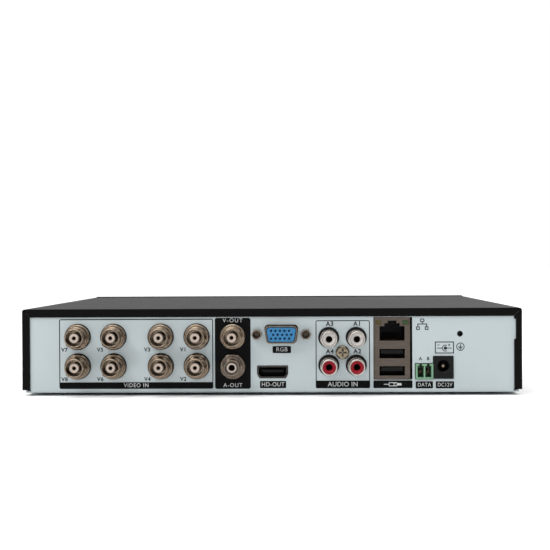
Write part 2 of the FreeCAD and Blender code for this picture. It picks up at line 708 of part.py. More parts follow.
def drive_cables():
    """Data and power cables from the drive's end to the main board, with a plug on each end."""
    pieces = []
    for x, y, half, radius in DRIVE_LINKS:
        route = [(PLUG_X, y, CABLE_Z), (x, y, CABLE_Z), (x, PLUG_Y, CABLE_Z)]
        pieces.append(bent_cable(route, radius, 15.0))
        pieces.append(box((DRIVE_X[1], PLUG_X), (y - half, y + half), (CABLE_Z - 2.8, CABLE_Z + 2.8)))
        pieces.append(box((x - half, x + half), (PLUG_Y, SOCKET_Y[0]), (CABLE_Z - 2.6, CABLE_Z + 2.6)))
    return group(pieces)


def front_cable():
    """Flat cable from the button board through the base's front wall to the main board."""
    low, high = CABLE_Z, 20.0
    half = 0.45
    start = FRONT_BOARD_Y + PCB + 5.0
    inner = [(start, high - half), (42.0, high - half), (52.0, low - half), (118.0, low - half),
             (118.0, low + half), (52.4, low + half), (42.4, high + half), (start, high + half)]
    radii = [0, 8.0, 8.9, 0, 0, 8.0, 8.9, 0]
    x_range = (FRONT_CABLE_X - 7.5, FRONT_CABLE_X - 2.0)
    ribbon = prism_x(inner, radii, x_range)
    front_plug = box(x_range, (FRONT_BOARD_Y + PCB, start), (high - 2.5, high + 2.5))
    board_plug = box(x_range, (118.0, SOCKET_Y[0]), (low - 2.0, low + 2.0))
    return group([ribbon, front_plug, board_plug])


# ---------------------------------------------------------------- rear sockets

def bnc_blocks():
    """Square housings on the board, each carrying an upper and a lower socket."""
    blocks = []
    for x in VIDEO_XS + (OUT_X,):
        body = box((x - 7.2, x + 7.2), (203.0, PANEL_IN - 0.1), (BOARD_TOP, 36.3))
        holes = [rod_y(x, z, JACK_BASE + 0.02, (210.0, PANEL)) for z in (UPPER_Z, LOWER_Z)]
        blocks.append(cut(body, holes))
    return group(blocks)


def video_places():
    return [(x, z) for x in VIDEO_XS for z in (UPPER_Z, LOWER_Z)] + [(OUT_X, UPPER_Z)]


LUG_TILT = math.sqrt(0.5)        # the lugs lie on a diagonal


def bnc_barrels():
    """Bayonet barrels with their base rings and two lugs each."""
    profile = [(2.7, -8.0), (JACK_BASE, -8.0), (JACK_BASE, 2.5), (JACK_BASE - 0.4, 2.9), (5.35, 2.9),
               (5.35, 4.2), (4.8, 4.6), (4.8, JACK_REACH - 0.3), (4.5, JACK_REACH), (4.2, JACK_REACH),
               (4.05, JACK_REACH - 0.15), (4.05, 2.4), (2.7, 2.4)]
    barrels = []
    for x, z in video_places():
        lug = Part.makeCylinder(0.95, 11.0, Vector(x + 5.5 * LUG_TILT, PANEL + 8.3, z - 5.5 * LUG_TILT),
                                Vector(-1, 0, 1))
        lug = lug.cut(rod_y(x, z, 4.4, (PANEL, PANEL + 12)))
        barrels.append(fuse([turned(x, z, profile), lug]))
    return group(barrels)


def bnc_insulators():
    profile = [(1.0, -8.0), (2.65, -8.0), (2.65, 2.6), (2.5, 2.8), (2.5, 9.9), (2.2, 10.3), (1.2, 10.3),
               (1.0, 10.1)]
    return group([turned(x, z, profile) for x, z in video_places()])


def audio_out_barrel():
    """Phono type outlet with the same base ring as the video sockets."""
    profile = [(3.45, -8.0), (JACK_BASE, -8.0), (JACK_BASE, 2.5), (JACK_BASE - 0.4, 2.9), (5.2, 2.9),
               (5.2, 4.4), (PHONO_RADIUS, 4.8), (PHONO_RADIUS, 10.3), (PHONO_RADIUS - 0.25, 10.6),
               (3.45, 10.6)]
    return turned(OUT_X, LOWER_Z, profile)


def audio_out_insert():
    profile = [(1.65, -8.0), (3.4, -8.0), (3.4, 8.6), (2.6, 8.6), (2.6, 10.0), (2.3, 10.3), (1.65, 10.3)]
    return turned(OUT_X, LOWER_Z, profile)


def audio_places():
    return [(x, z) for z in AUDIO_ZS for x in AUDIO_XS]


def jack_contacts():
    """Spring sleeves in the middle of the video, audio-out and audio-in sockets."""
    video = [(PIN_BORE, -8.0), (0.95, -8.0), (0.95, 9.4), (PIN_BORE, 9.4)]
    audio = [(1.4, -8.0), (1.62, -8.0), (1.62, 5.5), (1.4, 5.5)]
    sleeves = [turned(x, z, video) for x, z in video_places()]
    return group(sleeves + [turned(x, z, audio) for x, z in [(OUT_X, LOWER_Z)] + audio_places()])


def rca_block():
    """Housing of the four audio sockets, with a round boss through the panel at each."""
    x = sum(AUDIO_XS) / 2
    z = sum(AUDIO_ZS) / 2
    body = box((x - 13.4, x + 13.4), (206.0, PANEL_IN - 0.1), (BOARD_TOP, 34.7))
    bosses = [rod_y(cx, cz + BOSS_LIFT, BOSS_RADIUS, (PANEL_IN - 1, PANEL + BOSS_REACH))
              for cx, cz in audio_places()]
    holes = [rod_y(cx, cz, PHONO_ROOT + 0.02, (PANEL - 8.0, PANEL + 2)) for cx, cz in audio_places()]
    holes.append(rod_y(x, z, 1.45, (PANEL - 9, PANEL)))
    return cut(fuse([body] + bosses), holes)


def rca_barrels():
    profile = [(PHONO_BORE, -8.0), (PHONO_ROOT, -8.0), (PHONO_ROOT, BOSS_REACH), (PHONO_RADIUS, BOSS_REACH),
               (PHONO_RADIUS, PHONO_REACH - 0.2), (PHONO_RADIUS - 0.2, PHONO_REACH),
               (PHONO_BORE, PHONO_REACH)]
    return group([turned(x, z, profile) for x, z in audio_places()])


def rca_insert(x, z):
    rim = PHONO_BORE - 0.05
    profile = [(1.72, -8.0), (rim, -8.0), (rim, 8.5), (rim - 0.6, 8.5), (rim - 0.9, 8.1), (2.2, 8.1),
               (1.72, 7.6)]
    return turned(x, z, profile)


def rca_white_inserts():
    return group([rca_insert(x, AUDIO_ZS[0]) for x in AUDIO_XS])


def rca_red_inserts():
    return group([rca_insert(x, AUDIO_ZS[1]) for x in AUDIO_XS])


def rca_screw():
    screw = turn_to_rear(pan_screw(3.5, 1.4, 8.0, 2.1))
    screw.translate(Vector(sum(AUDIO_XS) / 2, PANEL, sum(AUDIO_ZS) / 2))
    return screw


VGA_REACH = 5.6
VGA_THREAD = 1.42                 # radius of the 4-40 thread in the jack screws
VGA_SCREW_XS = (VGA_X - VGA_SCREW_SPACING / 2, VGA_X + VGA_SCREW_SPACING / 2)


def vga_shell():
    """Pressed shell: flange behind the panel and the D-shaped collar through it."""
    flange = block(VGA_X, VGA_Z, 15.4, 6.2, (PANEL_IN - 1.0, PANEL_IN - 0.1))
    collar = prism_y(vga_points(VGA_X, VGA_Z, 0), 2.2, (PANEL_IN - 0.9, PANEL + VGA_REACH))
    bore = prism_y(vga_points(VGA_X, VGA_Z, -0.5), 1.8, (PANEL_IN - 3, PANEL + VGA_REACH + 1))
    holes = [rod_y(x, VGA_Z, 1.6, (PANEL_IN - 3, PANEL)) for x in VGA_SCREW_XS]
    return cut(fuse([flange, collar]), [bore] + holes)


def vga_insert():
    """Moulded insert with three rows of five contact holes, the middle row set half a pitch aside."""
    face = PANEL + VGA_REACH - 0.5
    solid = prism_y(vga_points(VGA_X, VGA_Z, -0.8), 1.6, (PANEL_IN - 4.0, face))
    pitch = 2.29
    holes = []
    for row, shift in ((-1, 0), (0, -pitch / 2), (1, 0)):
        for i in range(5):
            holes.append(rod_y(VGA_X + (i - 2) * pitch + shift + pitch / 4, VGA_Z + row * 1.98, 0.6,
                               (face - 3.5, face + 1)))
    return cut(solid, holes)


def vga_jackscrews():
    """Hexagonal posts with threaded ends, which hold the shell to the panel."""
    posts = []
    corner = 2.75
    for x in VGA_SCREW_XS:
        points = [(x + corner * math.cos(math.radians(a)), VGA_Z + corner * math.sin(math.radians(a)))
                  for a in range(0, 360, 60)]
        post = prism_y(points, 0.3, (PANEL, PANEL + 4.8))
        shank = rod_y(x, VGA_Z, 1.4, (PANEL - 6.5, PANEL + 0.5))
        bore = rod_y(x, VGA_Z, VGA_THREAD, (PANEL + 0.8, PANEL + 6))
        chamfer = cone_y(x, VGA_Z, (VGA_THREAD, 2.0), (PANEL + 4.2, PANEL + 4.9))
        posts.append(cut(fuse([post, shank]), [bore, chamfer]))
    return group(posts)


def video_stack():
    """Housing that holds the monitor socket above the digital video socket."""
    body = box((VGA_X - 17.0, VGA_X + 16.8), (204.0, PANEL_IN - 1.1), (BOARD_TOP, 36.7))
    tunnel = block(HDMI_X, HDMI_Z - 1.0, 8.3, 4.6, (203.0, PANEL))
    pocket = prism_y(vga_points(VGA_X, VGA_Z, -0.5), 1.8, (PANEL_IN - 4.05, PANEL))
    holes = [rod_y(x, VGA_Z, 1.45, (PANEL - 7, PANEL)) for x in VGA_SCREW_XS]
    return cut(body, [tunnel, pocket] + holes)


def hdmi_shell():
    y_range = (207.0, PANEL + 0.6)
    outer = prism_y(hdmi_points(HDMI_X, HDMI_Z, 0), 0.5, y_range)
    inner = prism_y(hdmi_points(HDMI_X, HDMI_Z, -0.45), 0.3, (y_range[0] + 0.5, y_range[1] + 1))
    return outer.cut(inner)


def hdmi_tongue():
    back = prism_y(hdmi_points(HDMI_X, HDMI_Z, -0.5), 0.3, (207.6, 210.5))
    tongue = block(HDMI_X, HDMI_Z + 0.4, 5.3, 0.6, (210.0, PANEL - 1.2))
    return fuse([back, tongue])


def network_points(grow):
    """Opening for a network plug, with the stepped way for its latch on top."""
    steps = ((6.35, 26.4), (6.35, 33.8), (3.9, 33.8), (3.9, 35.3), (2.2, 35.3), (2.2, 36.6))
    right = [(NET_X + half + grow, z + (grow if i else -grow)) for i, (half, z) in enumerate(steps)]
    left = [(NET_X - half - grow, z + (grow if i else -grow)) for i, (half, z) in enumerate(steps)]
    return right + left[::-1]


NET_FACE = PANEL + 0.6
NET_WALL = 0.4


def network_light(side, grow, y_range):
    """One of the two lights, or its opening when grown by a margin."""
    return block(NET_X + side * NET_LIGHT_DX, NET_LIGHT_Z, 1.45 + grow, 1.15 + grow, y_range)


def network_usb_shell():
    """One pressed shell round a network socket above two USB sockets."""
    x_range = (NET_X - NET_HALF, NET_X + NET_HALF)
    outer = box(x_range, (NET_FACE - NET_DEPTH, NET_FACE), (BOARD_TOP, NET_TOP))
    inner = box((x_range[0] + NET_WALL, x_range[1] - NET_WALL),
                (NET_FACE - NET_DEPTH - 1, NET_FACE - NET_WALL), (BOARD_TOP - 1, NET_TOP - NET_WALL))
    openings = [prism_y(network_points(0), 0, (NET_FACE - 1, NET_FACE + 1))]
    openings += [network_light(side, 0.05, (NET_FACE - 1, NET_FACE + 1)) for side in (-1, 1)]
    openings += [block(NET_X, z, 6.45, 2.4, (NET_FACE - 1, NET_FACE + 1)) for z in USB_ZS]
    return cut(outer.cut(inner), openings)


def network_insert():
    """Moulded body of the network socket, hollow where the plug goes."""
    half = NET_HALF - NET_WALL - 0.1
    body = box((NET_X - half, NET_X + half), (NET_FACE - NET_DEPTH + 0.5, NET_FACE - NET_WALL - 0.05),
               (24.3, NET_TOP - NET_WALL - 0.1))
    hollow = prism_y(network_points(0.05), 0, (NET_FACE - 14.0, NET_FACE + 1))
    lights = [network_light(side, 0.1, (NET_FACE - 4.05, NET_FACE + 1)) for side in (-1, 1)]
    return cut(body, [hollow] + lights)


def network_leds():
    return group([network_light(side, 0, (NET_FACE - 4.0, NET_FACE - 0.15)) for side in (1, -1)])


def usb_tongues():
    """Moulded tongue and back of each USB socket."""
    tongues = []
    for z in USB_ZS:
        back = block(NET_X, z, 6.7, 2.6, (NET_FACE - 15.0, NET_FACE - 10.5))
        tongue = block(NET_X, z + 0.9, 5.6, 0.95, (NET_FACE - 11.0, NET_FACE - 1.0))
        tongues.append(fuse([back, tongue]))
    return group(tongues)


TERMINAL_PITCH = 3.9
POLE_XS = (TERMINAL_X - TERMINAL_PITCH / 2, TERMINAL_X + TERMINAL_PITCH / 2)


def terminal_header():
    """Two-pole header, open to the rear."""
    y_range = (207.0, PANEL + 1.2)
    body = box((TERMINAL_X - TERMINAL_HALF, TERMINAL_X + TERMINAL_HALF), y_range, TERMINAL_Z)
    middle = sum(TERMINAL_Z) / 2
    cavities = [block(x, middle - 0.1, 1.55, 2.95, (211.0, PANEL + 2)) for x in POLE_XS]
    keys = [block(x, TERMINAL_Z[1] - 0.7, 0.7, 0.75, (214.0, PANEL + 2)) for x in POLE_XS]
    return cut(body, cavities + keys)


def terminal_pins():
    middle = sum(TERMINAL_Z) / 2
    return group([block(x, middle - 0.1, 0.5, 0.5, (211.0, PANEL - 1.0)) for x in POLE_XS])


def power_jack_body():
    y_range = (206.0, PANEL + 0.9)
    body = block(POWER_X, POWER_Z - 0.7, 4.95, 5.55, y_range)
    return cut(body, [rod_y(POWER_X, POWER_Z, 2.9, (209.0, PANEL + 2)),
                      cone_y(POWER_X, POWER_Z, (2.9, 3.4), (PANEL + 0.4, PANEL + 0.9))])


def power_jack_pin():
    pin = rod_y(POWER_X, POWER_Z, 1.0, (209.0, PANEL - 0.6))
    rim = [edge for edge in pin.Edges if edge.BoundBox.YMin > PANEL - 0.61]
    return pin.makeFillet(0.5, rim)


# ---------------------------------------------------------------- hard drive

SPINDLE_RADIUS = 2.5
PIVOT_RADIUS = 3.0
RUNNING = 0.05
HUB_RADIUS = 12.5
RAIL = 8.0
FLOOR_Z = 10.0
LID_Z = DRIVE_Z[1] - 1.5
DISC_ZS = (15.5, 20.0)
DISC_THICK = 1.27
ARM_ZS = (13.6, 17.9, 22.3)


def drive_base():
    """Cast base with the disc and arm pocket, the spindle shaft and the pivot post."""
    casting = box(DRIVE_X, DRIVE_Y, (DRIVE_Z[0] + 2.4, LID_Z))
    rails = [box(DRIVE_X, y_range, (DRIVE_Z[0], DRIVE_Z[0] + 3))
             for y_range in ((DRIVE_Y[0], DRIVE_Y[0] + RAIL), (DRIVE_Y[1] - RAIL, DRIVE_Y[1]))]
    pocket = [rod_z(DISC_X, DISC_Y, DISC_RADIUS + 0.8, (FLOOR_Z, LID_Z + 1)),
              box((-40.0, 19.0), (27.0, 113.0), (FLOOR_Z, LID_Z + 1))]
    solid = cut(fuse([casting] + rails), pocket)
    shafts = [rod_z(DISC_X, DISC_Y, SPINDLE_RADIUS, (FLOOR_Z - 1, 25.5)),
              rod_z(PIVOT_X, PIVOT_Y, PIVOT_RADIUS, (FLOOR_Z - 1, 26.0))]
    return cut(fuse([solid] + shafts), [rod_z(x, y, 1.55, (0, FLOOR_Z - 1)) for x, y in DRIVE_SCREWS])


def drive_lid():
    left, right = DRIVE_X[0] + 1, DRIVE_X[1] - 1
    near, far = DRIVE_Y[0] + 1, DRIVE_Y[1] - 1
    corners = [(left, near), (right, near), (right, far), (left, far)]
    lid = prism_z(corners, 4.0, (LID_Z, DRIVE_Z[1]))
    return lid.cut(rod_z(DISC_X, DISC_Y, 20.0, (DRIVE_Z[1] - 0.4, DRIVE_Z[1] + 1)))


def drive_board():
    margin = RAIL + 1.0
    return box((-58.0, DRIVE_X[1] - 1), (DRIVE_Y[0] + margin, DRIVE_Y[1] - margin), (4.4, 4.4 + PCB))


def drive_hub():
    """Motor hub with its spacer and clamp ring."""
    clamped = 15.0
    hub = fuse([rod_z(DISC_X, DISC_Y, HUB_RADIUS, (12.5, 24.5)),
                rod_z(DISC_X, DISC_Y, clamped, (12.5, DISC_ZS[0]))])
    hub = hub.cut(rod_z(DISC_X, DISC_Y, SPINDLE_RADIUS + RUNNING, (0, 40)))
    bore = rod_z(DISC_X, DISC_Y, HUB_RADIUS, (0, 40))
    disc_top = DISC_ZS[1] + DISC_THICK
    spacer = rod_z(DISC_X, DISC_Y, clamped, (DISC_ZS[0] + DISC_THICK, DISC_ZS[1])).cut(bore)
    clamp = rod_z(DISC_X, DISC_Y, clamped, (disc_top, disc_top + 1.3)).cut(bore)
    return group([hub, spacer, clamp])


def drive_platters():
    bore = rod_z(DISC_X, DISC_Y, HUB_RADIUS, (0, 40))
    return group([rod_z(DISC_X, DISC_Y, DISC_RADIUS, (z, z + DISC_THICK)).cut(bore) for z in DISC_ZS])


def head_arm():
    """Pivot barrel with three tapered arms and the coil behind it, drawn in its parked direction."""
    root, tip = 7.0, 2.2
    arms = [prism_z([(0, -root), (ARM_LENGTH, -tip), (ARM_LENGTH + 2.0, 0), (ARM_LENGTH, tip), (0, root)],
                    0, (z, z + 1.0)) for z in ARM_ZS]
    barrel = rod_z(0, 0, 7.5, (12.0, 25.0))
    coil = prism_z([(-3, -5), (-3, 5), (-19, 10), (-19, -10)], 2.0, (16.0, 20.0))
    solid = fuse([barrel] + arms + [coil]).cut(rod_z(0, 0, PIVOT_RADIUS + RUNNING, (0, 40)))
    solid.rotate(Vector(0, 0, 0), Vector(0, 0, 1), ARM_PARKED)
    solid.translate(Vector(PIVOT_X, PIVOT_Y, 0))
    return solid


def drive_screws():
    """Screws up through the floor's supports into the drive."""
    screws = []
    for x, y in DRIVE_SCREWS:
        screw = pan_screw(3.3, 1.45, 5.0, 1.4)
        screw.rotate(Vector(0, 0, 0), Vector(1, 0, 0), 180)
        screw.translate(Vector(x, y, DRIVE_Z[0] - SHEET))
        screws.append(screw)
    return group(screws)


# ---------------------------------------------------------------- output

def menu_key():
    return round_key(SIDE_KEY_X, MENU_Z, SIDE_KEY_RADIUS, -KEY_PROUD, 0.35)


def esc_key():
    return round_key(SIDE_KEY_X, ESC_Z, SIDE_KEY_RADIUS, -KEY_PROUD, 0.35)


def ok_key():
    return round_key(PAD_X, PAD_Z, PAD_INNER - 1.5 - 0.6, 0.0, 0.3)


def up_key():
    return pad_key((0, 1))


def down_key():
    return pad_key((0, -1))


def left_key():
    return pad_key((-1, 0))


def right_key():
    return pad_key((1, 0))


NODES = (
    base_chassis, top_cover, front_bezel, cover_screws, rubber_feet,
    menu_key, esc_key, up_key, down_key, left_key, right_key, ok_key,
    key_switches, front_board, status_leds, ir_sensor, board_screws, front_cable,
    main_board, processor, heatsink, board_chips, inductors, capacitors, clock_battery, buzzer,
    board_sockets,
    bnc_blocks, bnc_barrels, bnc_insulators, audio_out_barrel, audio_out_insert, jack_contacts,
    rca_block, rca_barrels, rca_white_inserts, rca_red_inserts, rca_screw,
    vga_shell, vga_insert, vga_jackscrews, video_stack, hdmi_shell, hdmi_tongue,
    network_usb_shell, network_insert, network_leds, usb_tongues,
    terminal_header, terminal_pins, power_jack_body, power_jack_pin,
    drive_base, drive_lid, drive_board, drive_hub, drive_platters, head_arm, drive_screws, drive_cables,
)


def main():
    os.makedirs("parts", exist_ok=True)
    for make in NODES:
        shape = make()
        shape.translate(ORIGIN_SHIFT)
        shape.exportStep("parts/" + make.__name__ + ".step")


if __name__ == "__main__":
    main()
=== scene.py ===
import json
import math

import bmesh
import bpy
from mathutils import Matrix, Vector


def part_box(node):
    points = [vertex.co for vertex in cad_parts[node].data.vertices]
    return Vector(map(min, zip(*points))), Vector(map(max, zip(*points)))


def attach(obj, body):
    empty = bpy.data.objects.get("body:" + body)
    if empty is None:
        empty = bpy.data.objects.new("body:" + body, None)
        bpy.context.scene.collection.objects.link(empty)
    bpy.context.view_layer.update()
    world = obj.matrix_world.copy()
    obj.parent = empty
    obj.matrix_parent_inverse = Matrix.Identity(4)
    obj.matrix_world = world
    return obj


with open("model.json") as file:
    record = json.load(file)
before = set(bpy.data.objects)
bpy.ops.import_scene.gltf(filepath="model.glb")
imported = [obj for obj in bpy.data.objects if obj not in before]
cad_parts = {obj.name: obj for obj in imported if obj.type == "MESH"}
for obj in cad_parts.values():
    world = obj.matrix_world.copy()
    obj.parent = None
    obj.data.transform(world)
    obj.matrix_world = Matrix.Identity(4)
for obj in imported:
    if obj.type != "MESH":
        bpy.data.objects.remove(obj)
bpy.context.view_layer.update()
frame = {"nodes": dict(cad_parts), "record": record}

MM = 0.001
CASE = "recorder"        # the body that everything fixed rides on
NODES = frame["nodes"]
RECORD = frame["record"]
MOUNTS = {mount["name"]: Vector(mount["pos_m"]) / MM for mount in RECORD["mounts"]}
CENTRES = {name: (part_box(name)[0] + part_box(name)[1]) / 2 / MM for name in NODES}

FRONT_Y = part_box("front_bezel")[0].y / MM      # the bezel's front face
PANEL_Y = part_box("base_chassis")[1].y / MM     # the rear panel's outer face
BASE_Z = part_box("base_chassis")[0].z / MM      # the casing's underside
LIP_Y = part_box("top_cover")[1].y / MM          # the cover's rear lips


# ---------------------------------------------------------------- camera, floor and light

LENS = 73.7              # with a 36 mm wide sensor
CAMERA_BACK = 573.4      # from the rear lips, mm
CAMERA_SIDE = -15.5
CAMERA_HEIGHT = 65.9     # above the casing's underside
TURN_DEGREES = 1.32      # the camera looks a little past the middle of the casing
TILT_DEGREES = 0.58
ROLL_DEGREES = -0.28
FLOOR_HALF = 12.0        # half the side of the white floor, m
LIGHT_TARGET = Vector((0, 0, 0.02))      # the point that every soft box faces, m
SKY = 1.6                # light from straight above, against a white sheet's 1
SKY_LEVELS = ((0.0, 0.19), (1.0, 1.0), (0.35, 0.47))      # (height, share of it): horizon, top, between


def make_camera():
    """Camera behind the casing and a little above it."""
    data = bpy.data.cameras.new("camera")
    data.lens = LENS
    data.sensor_width = 36.0
    data.clip_start = 0.01
    data.clip_end = 100.0
    camera = bpy.data.objects.new("camera", data)
    bpy.context.scene.collection.objects.link(camera)
    place = Vector((CAMERA_SIDE, LIP_Y + CAMERA_BACK, BASE_Z + CAMERA_HEIGHT)) * MM
    aim = Matrix.Rotation(math.radians(180 + TURN_DEGREES), 4, "Z")
    aim = aim @ Matrix.Rotation(math.radians(90 - TILT_DEGREES), 4, "X")
    roll = Matrix.Rotation(math.radians(ROLL_DEGREES), 4, "Z")
    camera.matrix_world = Matrix.Translation(place) @ aim @ roll
    bpy.context.scene.camera = camera


def make_floor():
    """White sheet that the recorder stands on."""
    mesh = bpy.data.meshes.new("floor")
    corners = [(u * FLOOR_HALF, v * FLOOR_HALF, 0) for u, v in ((-1, -1), (1, -1), (1, 1), (-1, 1))]
    mesh.from_pydata(corners, [], [(0, 1, 2, 3)])
    floor = bpy.data.objects.new("floor", mesh)
    bpy.context.scene.collection.objects.link(floor)
    material = bpy.data.materials.new("floor_paper")
    material.use_nodes = True
    shader = material.node_tree.nodes["Principled BSDF"]
    shader.inputs["Base Color"].default_value = (0.9, 0.9, 0.9, 1)
    shader.inputs["Roughness"].default_value = 0.9
    shader.inputs["Specular IOR Level"].default_value = 0.1
    mesh.materials.append(material)


def make_light(name, place, size, watts):
    """Square soft box that faces the casing."""
    data = bpy.data.lights.new(name, "AREA")
    data.shape = "RECTANGLE"
    data.size, data.size_y = size
    data.energy = watts
    light = bpy.data.objects.new(name, data)
    light.location = place
    light.rotation_euler = (LIGHT_TARGET - light.location).to_track_quat("-Z", "Y").to_euler()
    bpy.context.scene.collection.objects.link(light)


def make_world():
    """Pale studio: bright overhead, dimmer towards the horizon, white where the camera sees it."""
    world = bpy.data.worlds.new("studio")
    bpy.context.scene.world = world
    world.use_nodes = True
    nodes, links = world.node_tree.nodes, world.node_tree.links
    nodes.clear()
    place = nodes.new("ShaderNodeTexCoord")
    split = nodes.new("ShaderNodeSeparateXYZ")
    ramp = nodes.new("ShaderNodeValToRGB")
    for i, (height, level) in enumerate(SKY_LEVELS):
        stop = ramp.color_ramp.elements[i] if i < 2 else ramp.color_ramp.elements.new(height)
        stop.position = height
        stop.color = (level, level, level, 1)
    soft = nodes.new("ShaderNodeBackground")
    soft.inputs["Strength"].default_value = SKY
    plain = nodes.new("ShaderNodeBackground")
    plain.inputs["Color"].default_value = (1, 1, 1, 1)
    seen = nodes.new("ShaderNodeLightPath")
    mix = nodes.new("ShaderNodeMixShader")
    out = nodes.new("ShaderNodeOutputWorld")
    links.new(place.outputs["Generated"], split.inputs["Vector"])
    links.new(split.outputs["Z"], ramp.inputs["Fac"])
    links.new(ramp.outputs["Color"], soft.inputs["Color"])
    links.new(seen.outputs["Is Camera Ray"], mix.inputs["Fac"])
    links.new(soft.outputs["Background"], mix.inputs[1])
    links.new(plain.outputs["Background"], mix.inputs[2])
    links.new(mix.outputs["Shader"], out.inputs["Surface"])


def make_studio():
    """Pale sky and three soft boxes: above, behind and in front."""
    make_world()
    make_light("top_box", (0.3, 0.3, 1.3), (0.9, 0.9), 6)
    make_light("rear_key", (0.75, 0.95, 0.95), (0.35, 0.35), 7)
    make_light("front_key", (-0.7, -1.0, 1.1), (0.4, 0.4), 9)
    bpy.context.scene.view_settings.view_transform = "Standard"


# ---------------------------------------------------------------- finishes

def add_noise(tree, size, detail=3.0, stretch=(1, 1, 1)):
    """Noise in the object's own space, with features about size millimetres across."""
    nodes, links = tree.nodes, tree.links
    place = nodes.new("ShaderNodeTexCoord")
    mapping = nodes.new("ShaderNodeMapping")
    mapping.inputs["Scale"].default_value = stretch
    noise = nodes.new("ShaderNodeTexNoise")
    noise.inputs["Scale"].default_value = 1 / (size * MM)
    noise.inputs["Detail"].default_value = detail
    links.new(place.outputs["Object"], mapping.inputs["Vector"])
    links.new(mapping.outputs["Vector"], noise.inputs["Vector"])
    return noise.outputs["Fac"]


def add_range(tree, value, low, high, span=(0.3, 0.7)):
    """Map the part of a value inside span to the range from low to high."""
    node = tree.nodes.new("ShaderNodeMapRange")
    node.inputs["From Min"].default_value, node.inputs["From Max"].default_value = span
    node.inputs["To Min"].default_value = low
    node.inputs["To Max"].default_value = high
    tree.links.new(value, node.inputs["Value"])
    return node.outputs["Result"]


def add_mix(tree, factor, first, second):
    """Colour mix; first and second are colours or sockets."""
    node = tree.nodes.new("ShaderNodeMix")
    node.data_type = "RGBA"
    tree.links.new(factor, node.inputs["Factor"])
    for value, socket in ((first, node.inputs[6]), (second, node.inputs[7])):
        if isinstance(value, (tuple, list)):
            socket.default_value = (*value, 1)
        else:
            tree.links.new(value, socket)
    return node.outputs[2]


def shade(colour, amount):
    """Colour made darker or lighter, kept between 0 and 1."""
    return tuple(max(0.0, min(1.0, c * amount)) for c in colour)


def finish(name, colour, roughness, metallic=0.0, specular=0.5, grain=(0.4, 0.01), tone=(25.0, 0.06),
           rough_spread=0.06, stretch=(1, 1, 1), edge=0.12, painted_crevice_shade=None, coat=0.0):
    """Procedural finish: grain is (feature size, height) in mm, tone is (patch size in mm, colour change),
    and the crevice argument before coat is (reach in mm, share of light left) of painted shade: ambient
    occlusion darkens the colour in crevices."""
    material = bpy.data.materials.new(name)
    material.use_nodes = True
    tree = material.node_tree
    shader = tree.nodes["Principled BSDF"]
    shader.inputs["Metallic"].default_value = metallic
    shader.inputs["Specular IOR Level"].default_value = specular
    shader.inputs["Coat Weight"].default_value = coat
    patches = add_range(tree, add_noise(tree, tone[0], 4.0, stretch), 0, 1)
    shown = add_mix(tree, patches, shade(colour, 1 - tone[1]), shade(colour, 1 + tone[1]))
    # Painted shade: ambient occlusion darkens the base colour in crevices and hollows, shade painted into the
    # colour.
    if painted_crevice_shade:
        painted_shade_ao = tree.nodes.new("ShaderNodeAmbientOcclusion")
        painted_shade_ao.samples = 8
        painted_shade_ao.inputs["Distance"].default_value = painted_crevice_shade[0] * MM
        shown = add_mix(tree, painted_shade_ao.outputs["AO"], shade(colour, painted_crevice_shade[1]), shown)
    tree.links.new(shown, shader.inputs["Base Color"])
    fine = add_noise(tree, grain[0], 3.0, stretch)
    rough = add_range(tree, add_noise(tree, tone[0] / 4, 3.0, stretch), roughness - rough_spread,
                      roughness + rough_spread)
    tree.links.new(rough, shader.inputs["Roughness"])
    bump = tree.nodes.new("ShaderNodeBump")
    bump.inputs["Strength"].default_value = 1.0
    bump.inputs["Distance"].default_value = grain[1] * MM
    tree.links.new(fine, bump.inputs["Height"])
    if edge:
        bevel = tree.nodes.new("ShaderNodeBevel")
        bevel.samples = 4
        bevel.inputs["Radius"].default_value = edge * MM
        tree.links.new(bevel.outputs["Normal"], bump.inputs["Normal"])
    tree.links.new(bump.outputs["Normal"], shader.inputs["Normal"])
    return material


def lamp_lenses():
    """Tinted lenses of the network socket: green on one side, yellow on the other."""
    green = (0.024, 0.05, 0.014)
    yellow = (0.06, 0.046, 0.012)
    material = finish("led_lens", green, 0.3, specular=0.25)
    tree = material.node_tree
    shader = tree.nodes["Principled BSDF"]
    place = tree.nodes.new("ShaderNodeTexCoord")
    split = tree.nodes.new("ShaderNodeSeparateXYZ")
    tree.links.new(place.outputs["Object"], split.inputs["Vector"])
    middle = MOUNTS["network_socket"].x * MM
    blend = 0.1 * MM
    side = add_range(tree, split.outputs["X"], 0, 1, (middle - blend, middle + blend))
    colour = add_mix(tree, side, green, yellow)
    tree.links.new(colour, shader.inputs["Base Color"])
    return material


